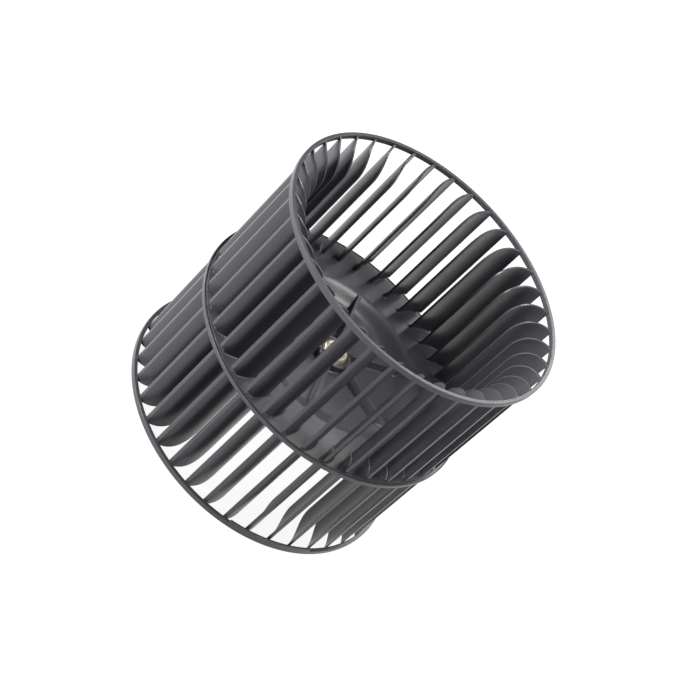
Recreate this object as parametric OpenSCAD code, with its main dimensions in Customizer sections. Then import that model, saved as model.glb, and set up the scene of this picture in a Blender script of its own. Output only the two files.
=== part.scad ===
// Double-inlet blower wheel of a range hood: one moulding with two cages of
// forward-curved blades, one on each side of a dished disc, and a turned metal
// insert in its hub that takes the motor shaft.
// +Z is the axis, the wheel stands on its lower end ring, and the outer edge of
// the first blade lies on +X.

/* [Wheel] */
// Outside diameter of the end rings
wheel_d = 150; // [135:1:170]
// Overall length along the axis
wheel_len = 134.5; // [110:0.5:160]

/* [End rings] */
// Radial wall of an end ring, which stands outside the blades
ring_wall = 2; // [1.4:0.1:3]
// Height of an end ring along the axis
ring_h = 2.7; // [2:0.1:5]
// Chamfer at the outer edges of the end rings and of the disc's rim
rim_edge = 0.25; // [0.1:0.05:0.3]
// Height of the raised sector on the lower end ring's outer edge
lip_h = 1.7; // [0.5:0.1:3]
// Wall of that sector
lip_t = 1.1; // [0.8:0.1:1.4]
// Angle of its first end from the first blade
lip_start = 286; // [0:1:359]
// Angle that it spans
lip_turn = 35; // [10:1:90]

/* [Disc] */
// Height of the disc's flat upper face above the wheel's lower end
disc_z = 63.4; // [50:0.1:76]
// Thickness of the disc
disc_t = 2.1; // [1.6:0.1:3]
// Radial width of the disc's rim outside the blades
disc_rim = 1.5; // [1.2:0.1:1.9]
// Radius at which the flat upper face starts to dip into the dish
dish_r = 49; // [44:0.5:54]
// Radial width of the dish's sloping wall
dish_slope = 12.5; // [9:0.5:16]
// Depth of the dish
dish_depth = 5.3; // [4.5:0.1:7]
// Depth of the groove outside the upper blades
groove_depth = 0.6; // [0.3:0.1:0.8]
// Width of the land between that groove and the disc's edge
groove_land = 0.4; // [0.4:0.1:0.8]

/* [Ribs] */
// Number of radial ribs in the dish, and of webs under it
rib_count = 6; // [4:1:8]
// Thickness of a rib
rib_t = 1.4; // [1:0.1:2.5]
// Drop of a rib's top edge below the flat upper face
rib_drop = 0.5; // [0.2:0.1:0.7]
// Angle of the first rib from the first blade
rib_turn = 42; // [0:1:60]
// Fillet at the feet of the ribs
rib_fillet = 0.8; // [0.4:0.1:1.2]
// Reach of a web from the axis, along the dish's underside
web_r = 27; // [20:0.5:32]
// Height of a web where it meets the boss
web_h = 9; // [5:0.5:11]

/* [Blades] */
// Number of blades in each cage
blade_count = 38; // [32:1:42]
// Thickness of a blade
blade_t = 1; // [0.8:0.1:1.8]
// Radial depth of a blade, from its outer edge to its inner edge
blade_depth = 13; // [10:0.5:15]
// Angle by which the inner edge leads the outer edge
blade_sweep = 5; // [3:0.1:6]
// Angle through which the blade's section turns from edge to edge
blade_camber = 58; // [40:1:65]
// Flare of a blade's foot on each side, where it meets the disc
blade_flare = 0.6; // [0.3:0.1:1]
// Radius of the rounded corner at the inlet end of a blade
tip_round = 16; // [7:0.5:18]
// Drop of a blade's inlet end below the end ring's face
tip_drop = 0.4; // [0.3:0.1:1]
// Height of the notch at the outer corner of an upper blade's foot
notch_h = 1; // [0.6:0.1:2]
// Radial width of that notch
notch_w = 1.5; // [1:0.1:4]

/* [Hub] */
// Outside diameter of the boss
boss_d = 19; // [17:0.5:24]
// Drop of the boss's upper face below the disc's flat upper face
boss_drop = 3.5; // [2:0.1:4]
// Length of the boss
boss_len = 20; // [17:0.5:28]

/* [Insert] */
// Outside diameter of the metal insert
insert_d = 13.5; // [11.5:0.1:15]
// Height by which the insert stands out of the boss's upper face
insert_proud = 3; // [1:0.1:4]
// Height by which its other end stands out of the boss's lower face
insert_tail = 1; // [0.5:0.1:3]
// Bore for the motor shaft
bore_d = 8; // [6:0.1:9]
// Chamfer at the insert's outer edges
insert_edge = 0.7; // [0.3:0.1:1]
// Chamfer at the mouths of the bore
bore_edge = 0.5; // [0.2:0.1:0.8]
// Depth of the waist that locks the insert in the boss
waist_depth = 0.8; // [0.4:0.1:1.2]
// Length of that waist
waist_len = 5; // [3:0.5:8]

/* [Hidden] */
$fn = 180;
// Overlap that joins one form of the moulding to the next
sink = 0.8;
// Distance of a blade's root from the edge of the end ring that it enters
root_gap = 0.3;

wheel_r = wheel_d / 2;
blade_out_r = wheel_r - ring_wall;
blade_in_r = blade_out_r - blade_depth;
disc_r = blade_out_r + disc_rim;
disc_bottom = disc_z - disc_t;
boss_r = boss_d / 2;
boss_top = disc_z - boss_drop;
boss_bottom = boss_top - boss_len;
insert_r = insert_d / 2;
insert_top = boss_top + insert_proud;
insert_bottom = boss_bottom - insert_tail;

// A blade's mid-line is one arc from its inner edge to its outer edge
inner_edge = blade_in_r * [cos(blade_sweep), sin(blade_sweep)];
outer_edge = [blade_out_r, 0];
chord = outer_edge - inner_edge;
camber_r = norm(chord) / (2 * sin(blade_camber / 2));
chord_normal = [chord[1], -chord[0]] / norm(chord);
camber_centre = (inner_edge + outer_edge) / 2 + chord_normal * camber_r * cos(blade_camber / 2);
function angle_at(p) = atan2(p[1] - camber_centre[1], p[0] - camber_centre[0]);
// Arc past each edge, which the outline of the cage trims off
overrun = 9;
arc_start = angle_at(outer_edge) - overrun;
arc_turn = angle_at(inner_edge) + overrun - arc_start;

// Points along the dish's wall, from its floor out to the flat face
slope_steps = 12;
slope = [
    for (k = [0:slope_steps])
        let (t = k / slope_steps)
            [dish_r - dish_slope * (1 - t), -dish_depth * (1 + cos(180 * t)) / 2]
];

// Wall curved like one blade, with a flared foot and its outer edge on +X
module blade_wall(h) {
    half = blade_t / 2;
    foot = half + blade_flare;
    translate(camber_centre)
        rotate_extrude(angle = arc_turn, start = arc_start)
            translate([camber_r, 0])
                polygon([
                    [-half, h],
                    [-half, blade_flare],
                    [-foot, 0],
                    [-foot, -sink],
                    [foot, -sink],
                    [foot, 0],
                    [half, blade_flare],
                    [half, h]
                ]);
}

// What the rounded corner takes off the inner corner of an inlet end
module tip_corner() {
    difference() {
        translate([-1, -tip_round])
            square([tip_round + 1, tip_round + 1]);
        translate([tip_round, -tip_round])
            circle(r = tip_round);
    }
}

// Half section of a cage, from the disc at 0 to the ring's face at h
module cage_outline(h, notch) {
    tip = h - tip_drop;
    difference() {
        translate([blade_in_r, -sink])
            square([blade_depth, sink + tip]);
        translate([blade_in_r, tip])
            tip_corner();
        if (notch)
            translate([blade_out_r - notch_w, 0])
                square([notch_w + 1, notch_h]);
    }
    // Root of each blade in the end ring
    translate([blade_out_r - 0.1, h - ring_h + root_gap])
        square([ring_wall / 2 + 0.1, ring_h / 2 - root_gap]);
}

// Ring of blades that stands on the disc
module cage(h, notch) {
    intersection() {
        for (k = [0:blade_count - 1])
            rotate([0, 0, k * 360 / blade_count])
                blade_wall(h);
        rotate_extrude()
            cage_outline(h, notch);
    }
}

module end_ring() {
    rotate_extrude()
        polygon([
            [blade_out_r, 0],
            [wheel_r - rim_edge, 0],
            [wheel_r, rim_edge],
            [wheel_r, ring_h - rim_edge],
            [wheel_r - rim_edge, ring_h],
            [blade_out_r, ring_h]
        ]);
}

// Low wall along a part of the lower end ring's outer edge
module raised_sector() {
    rotate_extrude(angle = lip_turn, start = lip_start)
        polygon([
            [wheel_r - lip_t, ring_h - sink],
            [wheel_r, ring_h - sink],
            [wheel_r, ring_h + lip_h],
            [wheel_r - lip_t, ring_h + lip_h]
        ]);
}

// Dished plate with a groove near its rim
module disc() {
    face = [
        [blade_out_r, 0],
        [blade_out_r, -groove_depth],
        [disc_r - groove_land, -groove_depth],
        [disc_r - groove_land, 0]
    ];
    rim = [
        [disc_r - rim_edge, 0],
        [disc_r, -rim_edge],
        [disc_r, rim_edge - disc_t],
        [disc_r - rim_edge, -disc_t]
    ];
    underside = [for (k = [slope_steps:-1:0]) slope[k] - [0, disc_t]];
    ends = [[0, -dish_depth - disc_t], [0, -dish_depth]];
    rotate_extrude()
        polygon(concat(slope, face, rim, underside, ends));
}

// Section of a rib with a fillet on both sides of its foot
module rib_section() {
    foot = rib_t / 2 + rib_fillet;
    difference() {
        translate([-foot, -sink])
            square([2 * foot, sink + rib_fillet]);
        for (side = [-1, 1])
            translate([side * foot, rib_fillet])
                circle(r = rib_fillet);
    }
    translate([-rib_t / 2, -sink])
        square([rib_t, sink + dish_depth]);
}

// Half section of the space that the ribs fill, from the boss to the dish's rim
module rib_zone() {
    core = [for (p = slope) p - [0, disc_t / 2]];
    hub_side = [
        [boss_r - sink, -boss_drop],
        [boss_r - sink, -dish_depth - disc_t / 2]
    ];
    top = [[dish_r, -rib_drop], [boss_r, -rib_drop], [boss_r, -boss_drop]];
    polygon(concat(hub_side, core, top));
}

// Ribs across the dish, with their feet on its floor
module ribs() {
    intersection() {
        for (k = [0:rib_count - 1])
            rotate([0, 0, rib_turn + k * 360 / rib_count])
                translate([0, 0, -dish_depth])
                    rotate([90, 0, 90])
                        linear_extrude(dish_r)
                            rib_section();
        rotate_extrude()
            rib_zone();
    }
}

// Webs that brace the boss under the dish
module webs() {
    floor = -dish_depth - disc_t;
    for (k = [0:rib_count - 1])
        rotate([0, 0, rib_turn + k * 360 / rib_count])
            rotate([90, 0, 0])
                linear_extrude(rib_t, center = true)
                    polygon([
                        [boss_r - sink, floor + sink],
                        [web_r, floor + sink],
                        [web_r, floor - 1],
                        [boss_r - sink, floor - web_h]
                    ]);
}

module boss() {
    translate([0, 0, boss_bottom])
        cylinder(h = boss_len, r = boss_r);
}

// Half section of the insert without its bore
module insert_outline() {
    middle = (insert_bottom + boss_top) / 2;
    difference() {
        polygon([
            [0, insert_bottom],
            [insert_r - insert_edge, insert_bottom],
            [insert_r, insert_bottom + insert_edge],
            [insert_r, insert_top - insert_edge],
            [insert_r - insert_edge, insert_top],
            [0, insert_top]
        ]);
        translate([insert_r - waist_depth, middle - waist_len / 2])
            square([waist_depth + 1, waist_len]);
    }
}

// Cone that opens the lower mouth of the bore
module bore_mouth() {
    translate([0, 0, -1])
        cylinder(h = 1 + bore_edge, r1 = bore_d / 2 + bore_edge + 1, r2 = bore_d / 2);
}

module blower_wheel() {
    color("dimgray")
        difference() {
            union() {
                end_ring();
                raised_sector();
                translate([0, 0, wheel_len - ring_h])
                    end_ring();
                translate([0, 0, disc_z]) {
                    disc();
                    ribs();
                    webs();
                    cage(wheel_len - disc_z, true);
                }
                boss();
                translate([0, 0, disc_bottom])
                    mirror([0, 0, 1])
                        cage(disc_bottom, false);
            }
            rotate_extrude()
                insert_outline();
        }
}

module hub_insert() {
    color("wheat")
        difference() {
            rotate_extrude()
                insert_outline();
            translate([0, 0, insert_bottom - 1])
                cylinder(h = insert_top - insert_bottom + 2, d = bore_d);
            translate([0, 0, insert_bottom])
                bore_mouth();
            translate([0, 0, insert_top])
                mirror([0, 0, 1])
                    bore_mouth();
        }
}

blower_wheel();
hub_insert();
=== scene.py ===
"""Finish of a double-inlet blower wheel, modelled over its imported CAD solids."""
from math import acos, atan2, cos, pi, radians, sin, sqrt

import bmesh
import bpy
from bpy.props import FloatProperty, FloatVectorProperty, IntProperty, PointerProperty
from mathutils import Matrix, Vector


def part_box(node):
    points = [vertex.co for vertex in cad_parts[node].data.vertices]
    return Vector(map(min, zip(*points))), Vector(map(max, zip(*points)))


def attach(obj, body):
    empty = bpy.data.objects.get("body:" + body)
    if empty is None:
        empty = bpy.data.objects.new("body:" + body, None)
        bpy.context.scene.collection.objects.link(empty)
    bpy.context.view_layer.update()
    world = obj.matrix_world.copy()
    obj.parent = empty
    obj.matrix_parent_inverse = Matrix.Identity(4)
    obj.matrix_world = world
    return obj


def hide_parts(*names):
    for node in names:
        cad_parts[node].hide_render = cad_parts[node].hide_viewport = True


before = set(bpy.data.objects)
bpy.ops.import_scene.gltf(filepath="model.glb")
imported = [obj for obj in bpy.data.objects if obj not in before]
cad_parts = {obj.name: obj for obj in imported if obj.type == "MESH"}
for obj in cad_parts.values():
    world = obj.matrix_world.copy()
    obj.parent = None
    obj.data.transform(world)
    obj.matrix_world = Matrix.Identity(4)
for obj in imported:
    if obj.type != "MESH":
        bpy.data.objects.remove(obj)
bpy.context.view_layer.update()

bl_info = {
    "name": "Blower wheel",
    "version": (1, 0, 0),
    "blender": (4, 5, 0),
    "location": "View3D > Sidebar > Blower wheel",
    "description": "Models and finishes a double-inlet blower wheel",
    "category": "Object",
}

MM = 0.001
WHEEL_LOW, WHEEL_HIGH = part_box("blower_wheel")
INSERT_LOW, INSERT_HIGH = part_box("hub_insert")

# Steps of a full turn of the rings and the disc, and of the insert
WHEEL_STEPS = 240
INSERT_STEPS = 120
# Steps of the raised sector, the dish's wall, a rib along it and a blade's round corner
SECTOR_STEPS = 30
DISH_STEPS = 12
RIB_STEPS = 14
CORNER_STEPS = 14
# Strips that a blade's section is cut into, so that it can bend
BLADE_STRIPS = 12
# Segments of a rounded corner of a turned outline, and of the rounded edge of a plate
TURNED_SEGMENTS = 4
PLATE_SEGMENTS = 3
# An edge that turns by more than this is rounded
SHARP = radians(60)
# Points nearer to each other than this are level
LEVEL = 1e-7

# How deep a blade or the raised sector, and a rib or web, reach into what carries them
SINK = 0.4 * MM
RIB_SINK = 0.8 * MM
# How far a blade's root reaches into its end ring, and how far from the ring's edge
ROOT_REACH = 0.6 * MM
ROOT_GAP = 0.3 * MM
# Width over which a blade's outer edge is fitted to the rings' inner wall
EDGE_BLEND = 4 * MM
# Rounding of the rings' inner edges and the ribs, the raised sector and the groove
INNER_EDGE = 0.25 * MM
SECTOR_EDGE = 0.2 * MM
GROOVE_EDGE = 0.15 * MM
# Fillet between the boss and the disc
BOSS_FILLET = 0.8 * MM
# How far the sunken part of a fillet stands out past its radius, so that no gap shows
FILLET_SINK = 0.5 * MM
# Heights at which a fillet is cut, as shares of its radius
FILLET_CUTS = (0, 0.06, 0.22, 0.5, 1)
# How far a rib runs into the dish's wall, and the height of a web's outer end
RIB_OVERRUN = 0.4 * MM
WEB_END = 1 * MM
# Chamfer at the mouths of the insert's bore, and rounding of all its chamfers
BORE_MOUTH = 0.5 * MM
TURNED_EDGE = 0.1 * MM

# Lamps: name, azimuth and elevation in degrees, width in metres, power in watts
LAMPS = (
    ("key", 206, 12, 0.5, 18),
    ("top", 30, 70, 0.5, 8),
    ("back", 72, 36, 0.5, 4),
    ("left", 152, 32, 0.5, 8),
    ("right", 330, 20, 0.5, 4),
)
# Point that the lamps face, and their distance from it in metres
LAMP_AIM = Vector((0, 0, 0.067))
LAMP_DISTANCE = 1.3
WORLD_STRENGTH = 0.03
# Half of the floor's width in metres
FLOOR_REACH = 3
# What the lamps leave on the floor brings this to white, and the wheel's shadow keeps it below
FLOOR_GLOW = 0.92

# Camera, fitted to the photo: lens and sensor in millimetres, axes, and place in metres
LENS = 97.03
SENSOR = 36
CAMERA_RIGHT = Vector((0.70431, 0.40211, 0.58502))
CAMERA_UP = Vector((-0.70911, 0.43693, 0.55339))
CAMERA_PLACE = Vector((-0.03113, -0.69701, 0.58256))


# Sizes and colours that a user would change

def length(name, description, size_mm):
    """A size in metres with a default given in millimetres."""
    return FloatProperty(
        name=name, description=description, default=size_mm * MM, min=0,
        unit="LENGTH", subtype="DISTANCE",
    )


def angle(name, description, degrees_wide):
    """An angle with a default given in degrees."""
    return FloatProperty(
        name=name, description=description, default=radians(degrees_wide),
        unit="ROTATION", subtype="ANGLE",
    )


def srgb(code):
    """Linear colour of an sRGB hex code such as "58585d"."""
    parts = [int(code[k:k + 2], 16) / 255 for k in (0, 2, 4)]
    return tuple(c / 12.92 if c <= 0.04045 else ((c + 0.055) / 1.055) ** 2.4 for c in parts)


def colour(name, description, code):
    """A colour with a default given as an sRGB hex code."""
    return FloatVectorProperty(
        name=name, description=description, default=srgb(code), min=0, max=1, subtype="COLOR"
    )


class BladeSizes(bpy.types.PropertyGroup):
    """Sizes of the blades in both cages"""
    count: IntProperty(
        name="Blades", description="Number of blades in each cage", default=38, min=8
    )
    thickness: length("Thickness", "Thickness of a blade", 1.15)
    depth: length("Depth", "Radial depth of a blade", 13)
    sweep: angle("Sweep", "Angle by which the inner edge leads the outer edge", 5)
    camber: angle("Camber", "Angle through which an upper blade's section turns", 54)
    lower_camber: angle("Lower camber", "Angle through which a lower blade's section turns", 65)
    lower_turn: angle("Lower turn", "Angle of the lower cage against the upper one", -0.5)
    edge: length("Edge", "Radius of a blade's moulded edges", 0.25)
    foot: length("Foot", "Fillet between a blade and the disc", 0.8)
    tip_round: length("Tip", "Radius of the rounded corner at the inlet end", 16)
    tip_drop: length("Tip drop", "Drop of a blade's inlet end below the ring's face", 0.4)
    notch_height: length("Notch height", "Height of the notch at an upper blade's foot", 1.4)
    notch_width: length("Notch width", "Radial width of that notch", 2)


class BodySizes(bpy.types.PropertyGroup):
    """Sizes of the rings, the disc and the hub"""
    ring_wall: length("Ring wall", "Radial wall of an end ring", 2)
    ring_height: length("Ring height", "Height of an end ring", 2.7)
    edge: length("Edge", "Radius of the moulding's outer edges", 0.25)
    lip_height: length("Raised sector", "Height of the raised sector on the lower ring", 1.7)
    lip_wall: length("Sector wall", "Wall of the raised sector", 1.1)
    lip_start: angle("Sector start", "Angle of the raised sector's first end", 286)
    lip_turn: angle("Sector turn", "Angle that the raised sector spans", 35)
    disc_top: length("Disc", "Height of the disc's flat upper face", 63.4)
    disc_thickness: length("Disc thickness", "Thickness of the disc", 2.1)
    disc_rim: length("Disc rim", "Radial width of the disc's rim outside the blades", 1.5)
    dish_radius: length("Dish radius", "Radius at which the flat face starts to dip", 49)
    dish_slope: length("Dish slope", "Radial width of the dish's sloping wall", 12.5)
    dish_depth: length("Dish depth", "Depth of the dish", 5.3)
    groove_depth: length("Groove", "Depth of the groove outside the upper blades", 0.6)
    groove_land: length("Land", "Width of the land between groove and edge", 0.4)
    rib_count: IntProperty(
        name="Ribs", description="Number of ribs in the dish", default=6, min=3
    )
    rib_thickness: length("Rib thickness", "Thickness of a rib", 1.4)
    rib_drop: length("Rib drop", "Drop of a rib's top below the flat face", 0.5)
    rib_turn: angle("Rib turn", "Angle of the first rib from the first blade", 42)
    rib_fillet: length("Rib fillet", "Fillet at a rib's foot", 0.8)
    web_reach: length("Web reach", "Reach of a web under the dish", 27)
    web_height: length("Web height", "Height of a web at the boss", 9)
    boss_radius: length("Boss", "Radius of the hub boss", 9.5)
    boss_drop: length("Boss drop", "Drop of the boss's face below the flat face", 1.5)
    boss_length: length("Boss length", "Length of the hub boss", 22)
    insert_edge: length("Insert edge", "Chamfer at the insert's outer edges", 0.7)
    collar_radius: length("Collar", "Radius of the insert's collar on the boss", 6.6)
    collar_height: length("Collar height", "Height of that collar", 1.6)
    bore_radius: length("Bore", "Radius of the bore for the motor shaft", 4)


class Finish(bpy.types.PropertyGroup):
    """Colours of the plastic, the metal and the floor"""
    plastic: colour("Plastic", "Colour of the moulded plastic", "58585d")
    metal: colour("Insert", "Colour of the turned insert", "faf2dc")
    floor: colour("Floor", "Colour of the floor", "808080")


# Shapes

def piece(name, bm, material, node):
    """A finished object of a bmesh, which rides on the wheel and stands for a CAD node."""
    bmesh.ops.recalc_face_normals(bm, faces=bm.faces)
    mesh = bpy.data.meshes.new(name)
    bm.to_mesh(mesh)
    bm.free()
    mesh.shade_smooth()
    mesh.materials.append(material)
    made = bpy.data.objects.new(name, mesh)
    bpy.context.scene.collection.objects.link(made)
    shading = made.modifiers.new("flat faces stay flat", "WEIGHTED_NORMAL")
    shading.weight = 100
    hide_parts(node)
    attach(made, "root")
    return made


def moulding(name, bm, finish):
    """A finished part of the plastic wheel."""
    return piece(name, bm, moulded_plastic(finish), "blower_wheel")


def round_edges(bm, geom, radius, segments, affect):
    """Rounds edges or corners."""
    bmesh.ops.bevel(
        bm, geom=geom, offset=radius, offset_type="OFFSET", segments=segments, profile=0.5,
        affect=affect, material=-1, clamp_overlap=True,
    )


def turned(bm, outline, steps):
    """Revolves a closed outline of (radius, height, corner radius) about Z."""
    corners = [bm.verts.new((r, 0, z)) for r, z, _ in outline]
    for here, there in zip(corners, corners[1:] + corners[:1]):
        bm.edges.new((here, there))
    rounded = {}
    for vert, (_, _, radius) in zip(corners, outline):
        if radius:
            rounded.setdefault(radius, []).append(vert)
    for radius, verts in rounded.items():
        round_edges(bm, verts, radius, TURNED_SEGMENTS, "VERTICES")
    # Only this outline's open edges are spun, so that several can share a bmesh
    wires = [e for e in bm.edges if not e.link_faces]
    ends = list(dict.fromkeys(v for e in wires for v in e.verts))
    bmesh.ops.spin(
        bm, geom=ends + wires, cent=(0, 0, 0), axis=(0, 0, 1), angle=2 * pi, steps=steps,
        use_merge=True,
    )


def sector(bm, outline, start, turn):
    """Revolves a closed outline of (radius, height) through a part of a turn and rounds it."""
    part = bmesh.new()
    section = [part.verts.new((r * cos(start), r * sin(start), z)) for r, z in outline]
    for here, there in zip(section, section[1:] + section[:1]):
        part.edges.new((here, there))
    bmesh.ops.spin(
        part, geom=part.verts[:] + part.edges[:], cent=(0, 0, 0), axis=(0, 0, 1), angle=turn,
        steps=SECTOR_STEPS,
    )
    bmesh.ops.holes_fill(part, edges=[e for e in part.edges if e.is_boundary], sides=0)
    bmesh.ops.recalc_face_normals(part, faces=part.faces)
    sharp = [e for e in part.edges if e.calc_face_angle() > SHARP]
    round_edges(part, sharp, SECTOR_EDGE, PLATE_SEGMENTS, "EDGES")
    join(bm, part)


def join(bm, part):
    """Moves all of a second bmesh into the first."""
    spare = bpy.data.meshes.new("spare")
    part.to_mesh(spare)
    part.free()
    bm.from_mesh(spare)
    bpy.data.meshes.remove(spare)


def around(bm, count, turn=0):
    """Turns everything in a bmesh and repeats it evenly about Z."""
    first = Matrix.Rotation(turn, 3, "Z")
    bmesh.ops.rotate(bm, verts=bm.verts, cent=(0, 0, 0), matrix=first)
    bmesh.ops.spin(
        bm, geom=bm.verts[:] + bm.edges[:] + bm.faces[:], cent=(0, 0, 0), axis=(0, 0, 1),
        angle=2 * pi * (count - 1) / count, steps=count - 1, use_duplicate=True,
    )


def fillet(height, radius):
    """How far a fillet stands out at a height above the surface that it meets."""
    if height >= radius:
        return 0
    if height < 0:
        return radius + FILLET_SINK
    return radius - sqrt(radius ** 2 - (radius - height) ** 2)


def plate(bm, outline, thickness, columns, rows):
    """A flat plate in the XZ plane, cut across at each column's X and each row's Z."""
    bm.faces.new([bm.verts.new((x, -thickness / 2, z)) for x, z in outline])
    cuts = [(x, (1, 0, 0)) for x in columns] + [(z, (0, 0, 1)) for z in rows]
    for place, normal in cuts:
        bmesh.ops.bisect_plane(
            bm, geom=bm.verts[:] + bm.edges[:] + bm.faces[:],
            plane_co=Vector(normal) * place, plane_no=normal, dist=LEVEL,
        )
    sheet = bmesh.ops.extrude_face_region(bm, geom=bm.faces[:])
    moved = [g for g in sheet["geom"] if isinstance(g, bmesh.types.BMVert)]
    bmesh.ops.translate(bm, verts=moved, vec=(0, thickness, 0))
    bmesh.ops.recalc_face_normals(bm, faces=bm.faces)


def round_rims(bm, radius, keep):
    """Rounds the rims of a plate's two faces, apart from those that keep() names."""
    rims = [
        e for e in bm.edges
        if len(e.link_faces) == 2 and e.calc_face_angle() > SHARP and not keep(e)
        and abs(e.verts[0].co.y - e.verts[1].co.y) < LEVEL
    ]
    round_edges(bm, rims, radius, PLATE_SEGMENTS, "EDGES")


def foot_edge(edge):
    """Whether an edge of a plate lies at or below the surface that the plate stands on."""
    return max(vert.co.z for vert in edge.verts) < LEVEL


def dip(body, share):
    """How deep the dish is at a share of its wall, from its floor at 0 to the flat face at 1."""
    return body.dish_depth * (1 + cos(pi * share)) / 2


def disc_outline(body):
    """Closed half section of the disc and its boss: (radius, height, corner radius)."""
    inner = WHEEL_HIGH.x - body.ring_wall
    outer = inner + body.disc_rim
    land = outer - body.groove_land
    hole = INSERT_HIGH.x
    top = body.disc_top
    groove = top - body.groove_depth
    floor = top - body.dish_depth
    under = body.disc_thickness
    boss_top = top - body.boss_drop
    boss_low = boss_top - body.boss_length
    dish_edge = body.dish_radius - body.dish_slope
    slope = []
    for k in range(1, DISH_STEPS):
        share = k / DISH_STEPS
        r = body.dish_radius - body.dish_slope * (1 - share)
        slope.append((r, top - dip(body, share), 0))
    upper = [
        (hole, boss_top, 0), (body.boss_radius, boss_top, body.edge),
        (body.boss_radius, floor, BOSS_FILLET), (dish_edge, floor, 0),
        *slope, (body.dish_radius, top, 0),
        (inner, top, GROOVE_EDGE), (inner, groove, GROOVE_EDGE),
        (land, groove, GROOVE_EDGE), (land, top, GROOVE_EDGE), (outer, top, body.edge),
    ]
    lower = [
        (outer, top - under, body.edge), (body.dish_radius, top - under, 0),
        *[(r, z - under, 0) for r, z, _ in slope[::-1]], (dish_edge, floor - under, 0),
        (body.boss_radius, floor - under, BOSS_FILLET),
        (body.boss_radius, boss_low, body.edge), (hole, boss_low, 0),
    ]
    return upper + lower


def rib(bm, body):
    """One rib along X, from the boss to where the dish's wall has risen to its top edge."""
    top = body.disc_top - body.rib_drop
    floor = body.disc_top - body.dish_depth
    start = body.dish_radius - body.dish_slope

    def surface(x):
        share = max(0, min(1, (x - start) / body.dish_slope))
        return body.disc_top - dip(body, share)

    near = body.boss_radius - RIB_SINK
    risen = acos(2 * body.rib_drop / body.dish_depth - 1) / pi
    far = start + body.dish_slope * risen + RIB_OVERRUN
    xs = [start + (far - start) * k / RIB_STEPS for k in range(RIB_STEPS + 1)]
    outline = [(near, -RIB_SINK), (far, -RIB_SINK)]
    outline += [(x, top - surface(x)) for x in xs[::-1]] + [(near, top - floor)]
    rows = [body.rib_fillet * share for share in FILLET_CUTS]
    plate(bm, outline, body.rib_thickness, xs[:-1], rows)
    round_rims(bm, INNER_EDGE, foot_edge)
    for vert in bm.verts:
        x, offset, rise = vert.co
        side = offset / (body.rib_thickness / 2)
        offset += side * fillet(rise, body.rib_fillet)
        vert.co = (x, offset, surface(x) + rise)


def web(bm, body):
    """One web along X under the dish, with its upper edge sunk in the disc."""
    near = body.boss_radius - RIB_SINK
    low = body.disc_top - body.dish_depth - body.disc_thickness
    sunk = low + RIB_SINK
    plate(bm, [
        (near, sunk), (near, low - body.web_height),
        (body.web_reach, low - WEB_END), (body.web_reach, sunk),
    ], body.rib_thickness, [], [])
    round_rims(bm, INNER_EDGE, lambda e: max(v.co.z for v in e.verts) > sunk - LEVEL)


class BladeCurve:
    """Mid-line of a blade: one arc from its inner edge to its outer edge on +X."""

    def __init__(self, blades, outer_radius, camber):
        self.outer_radius = outer_radius
        self.inner_radius = outer_radius - blades.depth
        inner = Vector((cos(blades.sweep), sin(blades.sweep))) * self.inner_radius
        outer = Vector((outer_radius, 0))
        chord = outer - inner
        self.radius = chord.length / (2 * sin(camber / 2))
        across = Vector((chord.y, -chord.x)).normalized()
        self.centre = (inner + outer) / 2 + across * self.radius * cos(camber / 2)
        self.start = atan2(*(inner - self.centre).yx)
        self.length = self.radius * camber

    def along(self, r, offset=0):
        """Distance along the arc at which a line offset from it is r from the axis."""
        reach = self.centre.length
        radius = self.radius + offset
        share = (r ** 2 - reach ** 2 - radius ** 2) / (2 * reach * radius)
        middle = atan2(*self.centre.yx)
        turns = [middle + side * acos(max(-1, min(1, share))) for side in (-1, 1)]
        places = [self.radius * ((self.start - t + pi) % (2 * pi) - pi) for t in turns]
        return min(places, key=lambda s: abs(s - self.length / 2))

    def bend(self, s, offset):
        """Place of a point s along the arc and offset from it."""
        turn = self.start - s / self.radius
        return self.centre + Vector((cos(turn), sin(turn))) * (self.radius + offset)


def tip_corner(blades, curve, top):
    """The rounded corner of a flattened blade, from its inner edge to its outer one."""
    corner_z = top - blades.tip_round
    corner_r = curve.inner_radius + blades.tip_round
    widest = acos(max(0, min(1, (corner_r - curve.outer_radius) / blades.tip_round)))
    corner = []
    for k in range(CORNER_STEPS + 1):
        turn = widest * k / CORNER_STEPS
        r = corner_r - blades.tip_round * cos(turn)
        corner.append((curve.along(r), corner_z + blades.tip_round * sin(turn)))
    return corner


def flat_blade(bm, blades, body, curve, height, notched):
    """A blade before it is bent: X runs along its section and Z up from the disc."""
    corner = tip_corner(blades, curve, height - blades.tip_drop)
    edge = curve.length
    root_low = height - body.ring_height + ROOT_GAP
    root_high = corner[-1][1]
    outline = [(0, -SINK)]
    columns, rows = [edge], [root_low]
    if notched:
        inset = edge - blades.notch_width
        outline += [
            (inset, -SINK), (inset, blades.notch_height), (edge, blades.notch_height),
        ]
        columns.append(inset)
        rows.append(blades.notch_height)
    else:
        outline.append((edge, -SINK))
    outline += [(edge, root_low), (edge + ROOT_REACH, root_low), (edge + ROOT_REACH, root_high)]
    outline += corner[::-1]
    columns += [edge * (k + 0.5) / BLADE_STRIPS for k in range(BLADE_STRIPS)]
    rows += [blades.foot * share for share in FILLET_CUTS]
    plate(bm, outline, blades.thickness, columns, rows)
    round_rims(bm, blades.edge, foot_edge)


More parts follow.
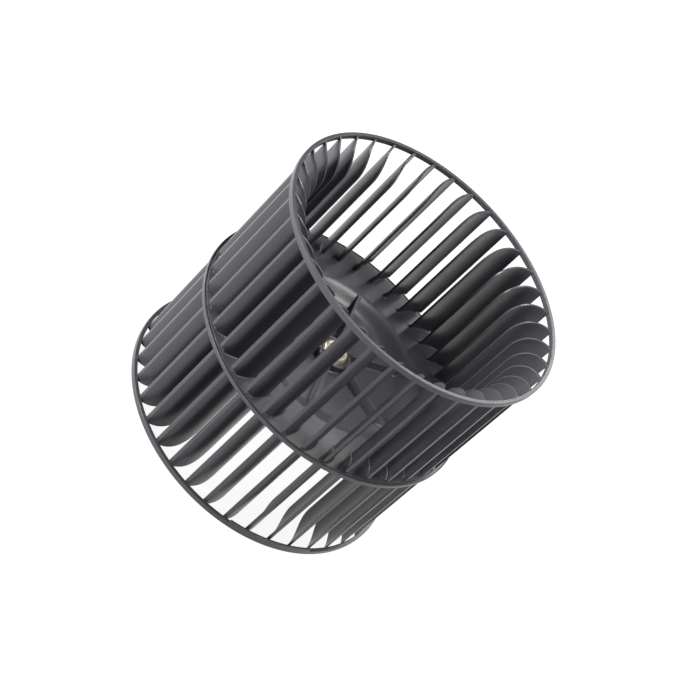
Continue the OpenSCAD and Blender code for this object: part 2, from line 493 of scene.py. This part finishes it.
def blade_cage(bm, blades, body, height, camber, notched):
    """One cage of blades, standing on the plane z = 0."""
    outer = WHEEL_HIGH.x - body.ring_wall
    curve = BladeCurve(blades, outer, camber)
    edge = curve.length
    flat_blade(bm, blades, body, curve, height, notched)
    for vert in bm.verts:
        s, offset, z = vert.co
        out = fillet(z, blades.foot)
        side = max(-1, min(1, offset / (blades.thickness / 2)))
        offset += side * out
        if s < blades.edge + LEVEL:
            s -= out
        # The outer edge is cut by the rings' inner wall, so it faces straight outwards
        slant = max(0, 1 - (edge - s) / EDGE_BLEND)
        s += (curve.along(outer, offset) - edge) * min(1, slant)
        x, y = curve.bend(s, offset)
        vert.co = (x, y, z)
    around(bm, blades.count)


# Materials

def add_node(tree, kind, settings=None, links=None):
    """Adds a node with its settings (attributes or sockets) and links (socket, from socket)."""
    node = tree.nodes.new(kind)
    for key, value in (settings or {}).items():
        if isinstance(key, str) and hasattr(node, key):
            setattr(node, key, value)
        else:
            node.inputs[key].default_value = value
    for key, source in (links or {}).items():
        tree.links.new(source, node.inputs[key])
    return node


def new_material(name):
    """A material without nodes, and its node tree."""
    material = bpy.data.materials.new(name)
    material.use_nodes = True
    material.node_tree.nodes.clear()
    return material, material.node_tree


def moulded_plastic(finish):
    """Charcoal plastic, injection moulded in a satin tool.

    It gives an even satin sheen, soft highlights along the blades and a faint grain.
    """
    made = bpy.data.materials.get("moulded_charcoal_plastic")
    if made:
        return made
    made, tree = new_material("moulded_charcoal_plastic")
    place = add_node(tree, "ShaderNodeTexCoord").outputs["Object"]
    # The tool's real grain, about 0.1 mm, is too fine to show, so it is drawn at 0.7 mm
    grain = add_node(
        tree, "ShaderNodeTexNoise", {"Scale": 1 / (0.7 * MM), "Detail": 2.0, "Roughness": 0.6},
        {"Vector": place},
    )
    # Clouds of 14 mm, left where the melt flowed, lighten the colour by up to 12% and vary
    # the sheen
    clouds = add_node(
        tree, "ShaderNodeTexNoise", {"Scale": 1 / (14 * MM), "Detail": 3.0, "Roughness": 0.55},
        {"Vector": place},
    )
    base = (*finish.plastic, 1)
    light = (*(c * 1.12 for c in finish.plastic), 1)
    tint = add_node(
        tree, "ShaderNodeMix", {"data_type": "RGBA", 6: base, 7: light},
        {0: clouds.outputs["Fac"]},
    )
    rough = add_node(
        tree, "ShaderNodeMapRange",
        {"From Min": 0.3, "From Max": 0.7, "To Min": 0.28, "To Max": 0.36},
        {"Value": clouds.outputs["Fac"]},
    )
    bump = add_node(
        tree, "ShaderNodeBump", {"Strength": 0.25, "Distance": 0.02 * MM},
        {"Height": grain.outputs["Fac"]},
    )
    shader = add_node(
        tree, "ShaderNodeBsdfPrincipled", {"IOR": 1.5},
        {"Base Color": tint.outputs[2], "Roughness": rough.outputs[0], "Normal": bump.outputs[0]},
    )
    add_node(tree, "ShaderNodeOutputMaterial", None, {"Surface": shader.outputs[0]})
    return made


def turned_brass(finish):
    """Pale brass, turned on a lathe: a bright, softly blurred shine with fine rings."""
    made, tree = new_material("turned_pale_brass")
    place = add_node(tree, "ShaderNodeTexCoord").outputs["Object"]
    # A wave's rings lie 0.314 of its unit apart, so these are 0.5 mm apart. The tool's
    # real marks, about 0.1 mm apart, are too fine to show.
    rings = add_node(
        tree, "ShaderNodeTexWave",
        {
            "wave_type": "RINGS", "rings_direction": "Z", "Scale": 1 / (1.6 * MM),
            "Distortion": 0.6, "Detail": 2.0,
        },
        {"Vector": place},
    )
    bump = add_node(
        tree, "ShaderNodeBump", {"Strength": 0.3, "Distance": 0.02 * MM},
        {"Height": rings.outputs["Fac"]},
    )
    shader = add_node(
        tree, "ShaderNodeBsdfPrincipled",
        {"Metallic": 1.0, "Roughness": 0.38, "Base Color": (*finish.metal, 1)},
        {"Normal": bump.outputs[0]},
    )
    add_node(tree, "ShaderNodeOutputMaterial", None, {"Surface": shader.outputs[0]})
    return made


def white_paper(finish):
    """Matt white paper: plain white to the camera and in reflections, with a soft shadow."""
    made, tree = new_material("white_paper")
    paths = add_node(tree, "ShaderNodeLightPath").outputs
    seen = paths["Is Camera Ray"]
    for ray in ("Is Glossy Ray", "Is Transmission Ray"):
        either = add_node(
            tree, "ShaderNodeMath", {"operation": "MAXIMUM"}, {0: seen, 1: paths[ray]}
        )
        seen = either.outputs[0]
    paper = add_node(tree, "ShaderNodeBsdfDiffuse", {"Color": (*finish.floor, 1)})
    strength = add_node(
        tree, "ShaderNodeMath", {"operation": "MULTIPLY", 1: FLOOR_GLOW}, {0: seen}
    )
    glow = add_node(
        tree, "ShaderNodeEmission", {"Color": (1, 1, 1, 1)}, {"Strength": strength.outputs[0]}
    )
    both = add_node(
        tree, "ShaderNodeAddShader", None, {0: paper.outputs[0], 1: glow.outputs[0]}
    )
    add_node(tree, "ShaderNodeOutputMaterial", None, {"Surface": both.outputs[0]})
    return made


# Operators

class BLOWER_OT_rings(bpy.types.Operator):
    """Model both end rings"""
    bl_idname = "blower.rings"
    bl_label = "End rings"

    def execute(self, context):
        body = context.scene.blower_body
        outer = WHEEL_HIGH.x
        inner = outer - body.ring_wall
        bm = bmesh.new()
        for low in (WHEEL_LOW.z, WHEEL_HIGH.z - body.ring_height):
            high = low + body.ring_height
            turned(bm, [
                (inner, low, INNER_EDGE), (outer, low, body.edge),
                (outer, high, body.edge), (inner, high, INNER_EDGE),
            ], WHEEL_STEPS)
        seat = WHEEL_LOW.z + body.ring_height
        sector(bm, [
            (outer - body.lip_wall, seat - SINK), (outer, seat - SINK),
            (outer, seat + body.lip_height), (outer - body.lip_wall, seat + body.lip_height),
        ], body.lip_start, body.lip_turn)
        moulding("end_rings", bm, context.scene.blower_finish)
        return {"FINISHED"}


class BLOWER_OT_disc(bpy.types.Operator):
    """Model the dished disc with its groove and the hub boss"""
    bl_idname = "blower.disc"
    bl_label = "Disc and boss"

    def execute(self, context):
        bm = bmesh.new()
        turned(bm, disc_outline(context.scene.blower_body), WHEEL_STEPS)
        moulding("dished_disc", bm, context.scene.blower_finish)
        return {"FINISHED"}


class BLOWER_OT_ribs(bpy.types.Operator):
    """Model the ribs in the dish and the webs under it"""
    bl_idname = "blower.ribs"
    bl_label = "Ribs and webs"

    def execute(self, context):
        body = context.scene.blower_body
        bm = bmesh.new()
        rib(bm, body)
        around(bm, body.rib_count, body.rib_turn)
        webs = bmesh.new()
        web(webs, body)
        around(webs, body.rib_count, body.rib_turn)
        join(bm, webs)
        moulding("ribs_and_webs", bm, context.scene.blower_finish)
        return {"FINISHED"}


class BLOWER_OT_blades(bpy.types.Operator):
    """Model the blades of both cages"""
    bl_idname = "blower.blades"
    bl_label = "Blades"

    def execute(self, context):
        body = context.scene.blower_body
        blades = context.scene.blower_blades
        disc_top = body.disc_top
        upper = bmesh.new()
        blade_cage(upper, blades, body, WHEEL_HIGH.z - disc_top, blades.camber, True)
        bmesh.ops.translate(upper, verts=upper.verts, vec=(0, 0, disc_top))
        moulding("upper_blades", upper, context.scene.blower_finish)
        disc_low = disc_top - body.disc_thickness
        turn = Matrix.Rotation(blades.lower_turn, 3, "Z")
        lower = bmesh.new()
        blade_cage(lower, blades, body, disc_low - WHEEL_LOW.z, blades.lower_camber, False)
        bmesh.ops.scale(lower, verts=lower.verts, vec=(1, 1, -1))
        bmesh.ops.rotate(lower, verts=lower.verts, cent=(0, 0, 0), matrix=turn)
        bmesh.ops.translate(lower, verts=lower.verts, vec=(0, 0, disc_low))
        moulding("lower_blades", lower, context.scene.blower_finish)
        return {"FINISHED"}


class BLOWER_OT_insert(bpy.types.Operator):
    """Model the turned insert in the hub"""
    bl_idname = "blower.insert"
    bl_label = "Hub insert"

    def execute(self, context):
        body = context.scene.blower_body
        outer, low = INSERT_HIGH.x, INSERT_LOW.z
        seat = body.disc_top - body.boss_drop
        collar, high = body.collar_radius, seat + body.collar_height
        bore, cut = body.bore_radius, body.insert_edge
        mouth = bore + BORE_MOUTH
        bm = bmesh.new()
        turned(bm, [
            (bore, low + BORE_MOUTH, 0), (mouth, low, TURNED_EDGE),
            (outer - cut, low, TURNED_EDGE), (outer, low + cut, TURNED_EDGE),
            (outer, seat, 0), (collar, seat, 0),
            (collar, high - cut, TURNED_EDGE), (collar - cut, high, TURNED_EDGE),
            (mouth, high, TURNED_EDGE), (bore, high - BORE_MOUTH, 0),
        ], INSERT_STEPS)
        brass = turned_brass(context.scene.blower_finish)
        piece("turned_insert", bm, brass, "hub_insert")
        return {"FINISHED"}


def lay_floor(scene):
    """A plain white floor under the wheel."""
    bm = bmesh.new()
    bmesh.ops.create_grid(bm, x_segments=1, y_segments=1, size=FLOOR_REACH)
    mesh = bpy.data.meshes.new("floor")
    bm.to_mesh(mesh)
    bm.free()
    mesh.materials.append(white_paper(scene.blower_finish))
    floor = bpy.data.objects.new("floor", mesh)
    floor.location.z = WHEEL_LOW.z
    scene.collection.objects.link(floor)


def hang_lamps(scene):
    """A faint white world and the soft lamps around the wheel."""
    world = bpy.data.worlds.new("studio")
    world.use_nodes = True
    sky = world.node_tree.nodes["Background"].inputs
    sky["Color"].default_value = (1, 1, 1, 1)
    sky["Strength"].default_value = WORLD_STRENGTH
    scene.world = world
    for name, azimuth, rise, width, power in LAMPS:
        light = bpy.data.lights.new(name, "AREA")
        light.shape = "DISK"
        light.size = width
        light.energy = power
        lamp = bpy.data.objects.new(name, light)
        rise, azimuth = radians(rise), radians(azimuth)
        towards = Vector((cos(rise) * cos(azimuth), cos(rise) * sin(azimuth), sin(rise)))
        lamp.location = LAMP_AIM + towards * LAMP_DISTANCE
        lamp.rotation_euler = (-towards).to_track_quat("-Z", "Y").to_euler()
        scene.collection.objects.link(lamp)


def set_camera(scene):
    """A camera at the photo's viewing angle, rolled as the photo is."""
    view = bpy.data.cameras.new("camera")
    view.sensor_width = SENSOR
    view.lens = LENS
    axes = (CAMERA_RIGHT, CAMERA_UP, CAMERA_RIGHT.cross(CAMERA_UP), CAMERA_PLACE)
    camera = bpy.data.objects.new("camera", view)
    camera.matrix_world = Matrix((*zip(*axes), (0, 0, 0, 1)))
    scene.collection.objects.link(camera)
    scene.camera = camera


class BLOWER_OT_stage(bpy.types.Operator):
    """Lay the floor, hang the lamps and set the camera"""
    bl_idname = "blower.stage"
    bl_label = "Stage"

    def execute(self, context):
        scene = context.scene
        scene.view_settings.view_transform = "Standard"
        lay_floor(scene)
        hang_lamps(scene)
        set_camera(scene)
        return {"FINISHED"}


GROUPS = {"blower_body": BodySizes, "blower_blades": BladeSizes, "blower_finish": Finish}
OPERATORS = (
    BLOWER_OT_rings, BLOWER_OT_disc, BLOWER_OT_ribs, BLOWER_OT_blades, BLOWER_OT_insert,
    BLOWER_OT_stage,
)


class BLOWER_PT_panel(bpy.types.Panel):
    """Buttons and sizes of the blower wheel"""
    bl_idname = "BLOWER_PT_panel"
    bl_label = "Blower wheel"
    bl_space_type = "VIEW_3D"
    bl_region_type = "UI"
    bl_category = "Blower wheel"

    def draw(self, context):
        for operator in OPERATORS:
            self.layout.operator(operator.bl_idname)
        for holder in GROUPS:
            group = getattr(context.scene, holder)
            box = self.layout.box()
            for name in group.bl_rna.properties.keys():
                if name not in ("rna_type", "name"):
                    box.prop(group, name)


def register():
    """Adds the sizes, the operators and the panel to Blender."""
    for name, group in GROUPS.items():
        bpy.utils.register_class(group)
        setattr(bpy.types.Scene, name, PointerProperty(type=group))
    for made in (*OPERATORS, BLOWER_PT_panel):
        bpy.utils.register_class(made)


def unregister():
    """Takes them out again."""
    for made in (BLOWER_PT_panel, *OPERATORS[::-1]):
        bpy.utils.unregister_class(made)
    for name, group in GROUPS.items():
        delattr(bpy.types.Scene, name)
        bpy.utils.unregister_class(group)


def main():
    """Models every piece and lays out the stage."""
    register()
    bpy.ops.blower.rings()
    bpy.ops.blower.disc()
    bpy.ops.blower.ribs()
    bpy.ops.blower.blades()
    bpy.ops.blower.insert()
    bpy.ops.blower.stage()
    bpy.context.view_layer.update()


if __name__ == "__main__":
    main()
